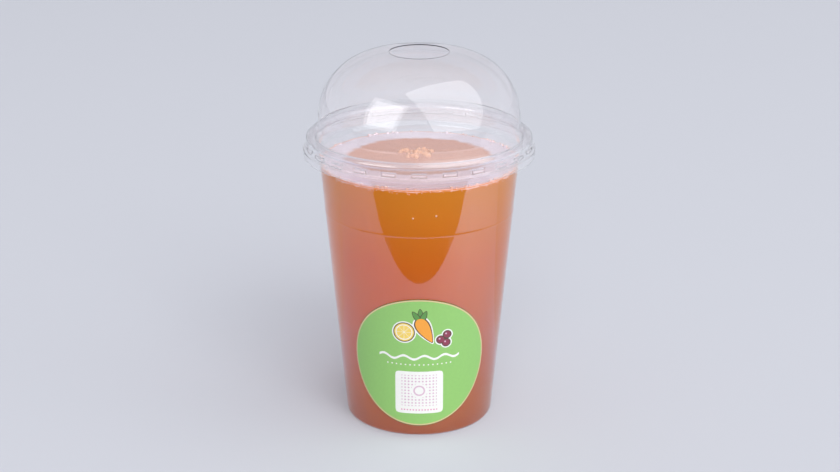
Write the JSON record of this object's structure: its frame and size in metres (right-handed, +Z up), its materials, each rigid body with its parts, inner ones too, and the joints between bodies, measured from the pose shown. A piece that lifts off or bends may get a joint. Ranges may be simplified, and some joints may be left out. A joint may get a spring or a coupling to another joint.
{
  "type": "cup of juice with dome lid",
  "caption": "Clear disposable cold-drink cup filled with amber-orange juice, closed by a press-on clear dome lid with a round straw hole, with a round green paper sticker on its front.",
  "frame": {"origin": "centre of the cup's base, at the level of the surface that it stands on", "axes": "+Z up along the cup's axis; the sticker faces -Y; +X is to the right as the sticker is read"},
  "size_m": [0.102, 0.102, 0.1679],
  "materials": {
    "clear_cup": "clear thermoformed film, glossy",
    "clear_lid": "clear thermoformed film, glossy",
    "juice": "cloudy amber-orange juice, wet surface",
    "sticker_paper": "smooth coated paper, printed green"
  },
  "bodies": {
    "root": {"cup": "clear_cup", "lid": "clear_lid", "juice": "juice", "sticker": "sticker_paper"}
  },
  "joints": []
}
